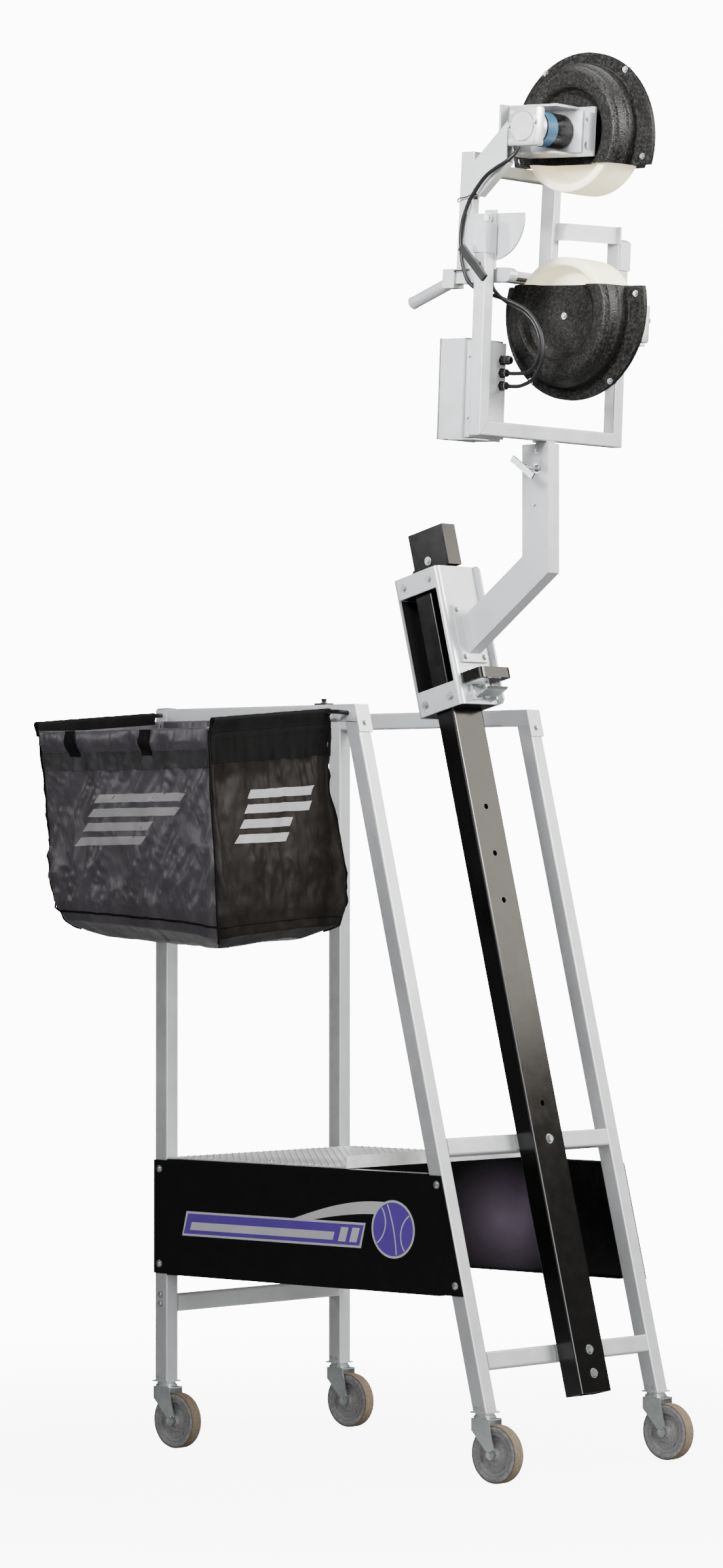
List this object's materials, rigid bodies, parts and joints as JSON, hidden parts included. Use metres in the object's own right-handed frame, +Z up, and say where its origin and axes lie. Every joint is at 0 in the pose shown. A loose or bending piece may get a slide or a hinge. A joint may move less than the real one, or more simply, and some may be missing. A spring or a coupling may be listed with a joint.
{
  "type": "volleyball serving machine",
  "caption": "Ball throwing machine on a wheeled platform cart: leaning mast, sliding carriage, tilting head with cream wheels in black guards, and a ball bag.",
  "frame": {"origin": "on the floor, under the middle of the machine's plan box", "axes": "+Z up, +X the throwing direction, -Y the right-hand side where the ball bag hangs"},
  "size_m": [1.2336, 1.039, 3.1283],
  "materials": {
    "silver_paint": "satin silver powder coat on steel",
    "gloss_black_paint": "gloss black powder coat",
    "panel_black": "gloss black sheet with a printed stripe",
    "tread_plate": "ribbed tread plate",
    "zinc": "bright zinc plate",
    "black_steel": "black painted rod",
    "cast_metal": "silver painted motor casting",
    "black_plastic": "textured black moulding",
    "cream_urethane": "smooth cream urethane",
    "caster_rubber": "grey rubber tread on a grey core",
    "black_nylon": "heavy woven nylon",
    "cable_jacket": "smooth black cable jacket"
  },
  "bodies": {
    "cart": {"rear_leg_right": "silver_paint", "front_leg_right": "silver_paint", "rear_leg_left": "silver_paint", "front_leg_left": "silver_paint", "rear_crossbar": "silver_paint", "front_lower_crossbar": "silver_paint", "front_upper_crossbar": "silver_paint", "top_rail_right": "silver_paint", "top_rail_left": "silver_paint", "side_panel_right": "panel_black", "side_panel_left": "panel_black", "deck": "tread_plate", "post": "gloss_black_paint", "spring_housing": "gloss_black_paint", "ball_bag": "black_nylon", "bag_rod_front": "black_steel", "bag_rod_rear": "black_steel"},
    "spring_drum": {"spring_drum": "zinc"},
    "carriage": {"carriage_sleeve": "silver_paint", "slide_liner": "black_plastic", "carriage_handle": "gloss_black_paint", "neck": "silver_paint"},
    "lock_pin": {"lock_pin": "zinc"},
    "release_lever": {"release_lever": "zinc"},
    "neck_lock": {"neck_lock_lever": "zinc"},
    "yoke": {"yoke_base": "silver_paint", "yoke_arm_right": "silver_paint", "yoke_arm_left": "silver_paint", "control_box": "silver_paint", "control_box_lid": "silver_paint"},
    "upper_knob": {"speed_knob_upper_wheel": "black_plastic"},
    "lower_knob": {"speed_knob_lower_wheel": "black_plastic"},
    "power_switch": {"power_switch": "black_plastic"},
    "tilt_lock": {"tilt_lock_lever": "black_plastic"},
    "head": {"tilt_quadrant": "silver_paint", "right_upright": "silver_paint", "left_upright": "silver_paint", "upper_cross_tube": "silver_paint", "lower_cross_tube": "silver_paint", "aim_handle": "silver_paint", "upper_motor": "cast_metal", "lower_motor": "cast_metal", "upper_guard_right": "black_plastic", "upper_guard_left": "black_plastic", "lower_guard_right": "black_plastic", "lower_guard_left": "black_plastic", "upper_motor_cable": "cable_jacket", "lower_motor_cable": "cable_jacket"},
    "upper_wheel": {"upper_throwing_wheel": "cream_urethane", "upper_wheel_hub": "zinc"},
    "lower_wheel": {"lower_throwing_wheel": "cream_urethane", "lower_wheel_hub": "zinc"},
    "caster_fork_rear_right": {"caster_fork_rear_right": "zinc"},
    "caster_wheel_rear_right": {"caster_wheel_rear_right": "caster_rubber"},
    "caster_fork_rear_left": {"caster_fork_rear_left": "zinc"},
    "caster_wheel_rear_left": {"caster_wheel_rear_left": "caster_rubber"},
    "caster_fork_front_right": {"caster_fork_front_right": "zinc"},
    "caster_wheel_front_right": {"caster_wheel_front_right": "caster_rubber"},
    "caster_fork_front_left": {"caster_fork_front_left": "zinc"},
    "caster_wheel_front_left": {"caster_wheel_front_left": "caster_rubber"}
  },
  "joints": [
    {"name": "swivel_rear_right", "type": "hinge", "parent": "cart", "child": "caster_fork_rear_right", "pos_m": [-0.58928, -0.09094, 0.15], "axis": [0, 0, 1], "continuous": true},
    {"name": "roll_rear_right", "type": "hinge", "parent": "caster_fork_rear_right", "child": "caster_wheel_rear_right", "pos_m": [-0.55328, -0.09094, 0.0635], "axis": [0, 1, 0], "continuous": true},
    {"name": "swivel_rear_left", "type": "hinge", "parent": "cart", "child": "caster_fork_rear_left", "pos_m": [-0.58928, 0.49296, 0.15], "axis": [0, 0, 1], "continuous": true},
    {"name": "roll_rear_left", "type": "hinge", "parent": "caster_fork_rear_left", "child": "caster_wheel_rear_left", "pos_m": [-0.55328, 0.49296, 0.0635], "axis": [0, 1, 0], "continuous": true},
    {"name": "swivel_front_right", "type": "hinge", "parent": "cart", "child": "caster_fork_front_right", "pos_m": [0.38103, -0.09094, 0.15], "axis": [0, 0, 1], "continuous": true},
    {"name": "roll_front_right", "type": "hinge", "parent": "caster_fork_front_right", "child": "caster_wheel_front_right", "pos_m": [0.41703, -0.09094, 0.0635], "axis": [0, 1, 0], "continuous": true},
    {"name": "swivel_front_left", "type": "hinge", "parent": "cart", "child": "caster_fork_front_left", "pos_m": [0.38103, 0.49296, 0.15], "axis": [0, 0, 1], "continuous": true},
    {"name": "roll_front_left", "type": "hinge", "parent": "caster_fork_front_left", "child": "caster_wheel_front_left", "pos_m": [0.41703, 0.49296, 0.0635], "axis": [0, 1, 0], "continuous": true},
    {"name": "carriage_slide", "type": "slide", "parent": "cart", "child": "carriage", "axis": [-0.2434, 0, 0.9699], "range_m": [-0.945, 0]},
    {"name": "spring_drum_turn", "type": "hinge", "parent": "cart", "child": "spring_drum", "pos_m": [-0.02366, 0.20101, 2.048], "axis": [0, 1, 0], "range_deg": [-1510, 5]},
    {"name": "lock_pin_slide", "type": "slide", "parent": "carriage", "child": "lock_pin", "axis": [0.9699, 0, 0.2434], "range_m": [0, 0.0116]},
    {"name": "release_lever_press", "type": "hinge", "parent": "carriage", "child": "release_lever", "pos_m": [0.11999, 0.20101, 1.71392], "axis": [0, 1, 0], "range_deg": [0, 30], "stiffness_Nm_per_rad": 2, "springref_deg": -14.32},
    {"name": "neck_lock_turn", "type": "hinge", "parent": "carriage", "child": "neck_lock", "pos_m": [0.29767, 0.14601, 2.215], "axis": [0, 1, 0], "range_deg": [-170, 170]},
    {"name": "yoke_swivel", "type": "hinge", "parent": "carriage", "child": "yoke", "pos_m": [0.29667, 0.20101, 2.27], "axis": [0.0454, 0, 0.999], "range_deg": [-60, 60]},
    {"name": "head_tilt", "type": "hinge", "parent": "yoke", "child": "head", "pos_m": [0.32948, 0.20101, 2.75001], "axis": [0, 1, 0], "range_deg": [-25, 35], "deforming": ["upper_motor_cable", "lower_motor_cable"]},
    {"name": "tilt_lock_turn", "type": "hinge", "parent": "yoke", "child": "tilt_lock", "pos_m": [0.3249, -0.05599, 2.64911], "axis": [0, 1, 0], "range_deg": [-170, 170]},
    {"name": "upper_knob_turn", "type": "hinge", "parent": "yoke", "child": "upper_knob", "pos_m": [0.2093, -0.00699, 2.39609], "axis": [0.999, 0, -0.0454], "range_deg": [-150, 150]},
    {"name": "lower_knob_turn", "type": "hinge", "parent": "yoke", "child": "lower_knob", "pos_m": [0.2093, 0.04001, 2.39609], "axis": [0.999, 0, -0.0454], "range_deg": [-150, 150]},
    {"name": "power_switch_rock", "type": "hinge", "parent": "yoke", "child": "power_switch", "pos_m": [0.20236, 0.01701, 2.34035], "axis": [0, 1, 0], "range_deg": [-24, 0]},
    {"name": "upper_wheel_spin", "type": "hinge", "parent": "head", "child": "upper_wheel", "pos_m": [0.41823, 0.20101, 2.94468], "axis": [0, 1, 0], "continuous": true},
    {"name": "lower_wheel_spin", "type": "hinge", "parent": "head", "child": "lower_wheel", "pos_m": [0.39241, 0.20101, 2.54552], "axis": [0, 1, 0], "continuous": true}
  ],
  "couplings": [
    {"joint": "spring_drum_turn", "follows": "carriage_slide", "rad_per_m": 27.778},
    {"joint": "lock_pin_slide", "follows": "release_lever_press", "m_per_rad": 0.022}
  ]
}
